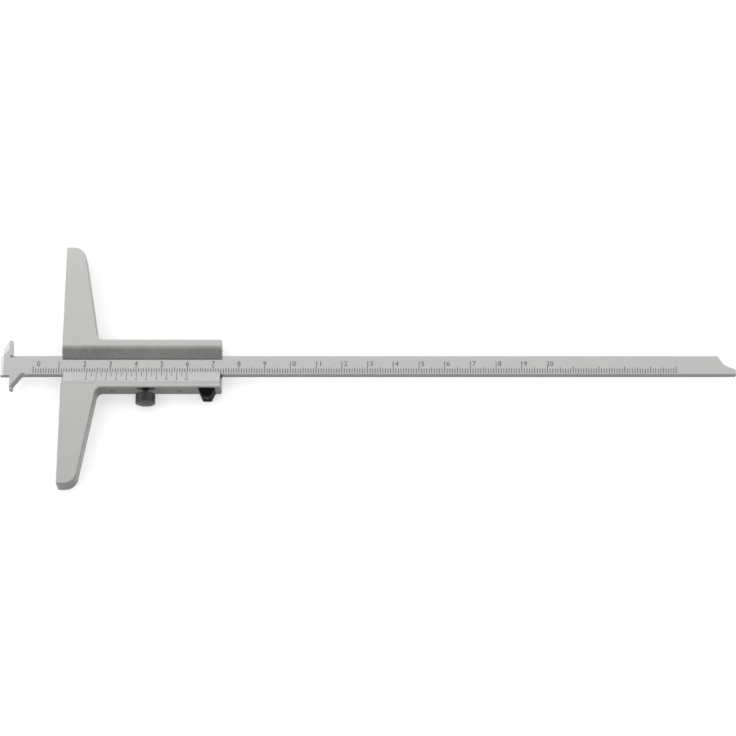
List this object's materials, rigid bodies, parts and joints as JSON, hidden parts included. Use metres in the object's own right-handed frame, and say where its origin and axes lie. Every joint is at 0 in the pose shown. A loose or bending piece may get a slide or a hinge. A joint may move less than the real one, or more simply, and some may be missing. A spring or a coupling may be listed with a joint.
{
  "type": "depth gauge",
  "caption": "Vernier depth gauge with a long graduated beam ending in a double hook, a wide bridge with a slider, a knurled lock screw and a thumb rest.",
  "frame": {"origin": "middle of the bridge's reference face, at the level of the flat back", "axes": "+X out of the reference face's back, along the beam towards its narrow tip; +Y along the bridge; +Z out of the graduated front"},
  "size_m": [0.286, 0.098, 0.008],
  "materials": {
    "beam_steel": "fine satin chrome",
    "body_steel": "satin chrome",
    "vernier_steel": "fine satin chrome",
    "screw_steel": "dark steel, turned",
    "knurled_steel": "blackened steel, knurled",
    "brass": "plain",
    "black_plastic": "matt black"
  },
  "bodies": {
    "slider": {"bridge_slider_body": "body_steel", "vernier_plate": "vernier_steel", "vernier_plate_screw_1": "screw_steel", "vernier_plate_screw_2": "screw_steel", "vernier_plate_screw_3": "screw_steel", "vernier_plate_dowel_1": "screw_steel", "vernier_plate_dowel_2": "screw_steel", "gib_strip": "brass", "gib_set_screw_1": "screw_steel", "gib_set_screw_2": "screw_steel", "thumb_rest": "black_plastic", "thumb_rest_screw": "screw_steel"},
    "beam": {"beam": "beam_steel", "beam_stop_pin": "beam_steel"},
    "lock_pad": {"lock_pad": "brass"},
    "lock_screw": {"lock_screw_stud": "screw_steel", "lock_screw_head": "knurled_steel"}
  },
  "joints": [
    {"name": "beam_slide", "type": "slide", "parent": "slider", "child": "beam", "axis": [-1, 0, 0], "range_m": [-0.0195, 0.1849]},
    {"name": "lock_travel", "type": "slide", "parent": "slider", "child": "lock_pad", "axis": [0, -1, 0], "range_m": [-0.000125, 0.000375]},
    {"name": "lock_turn", "type": "hinge", "parent": "lock_pad", "child": "lock_screw", "pos_m": [0.03261, -0.0132, 0.004], "axis": [0, -1, 0], "range_deg": [-91, 271]}
  ],
  "couplings": [
    {"joint": "lock_turn", "follows": "lock_travel", "rad_per_m": 12566}
  ]
}
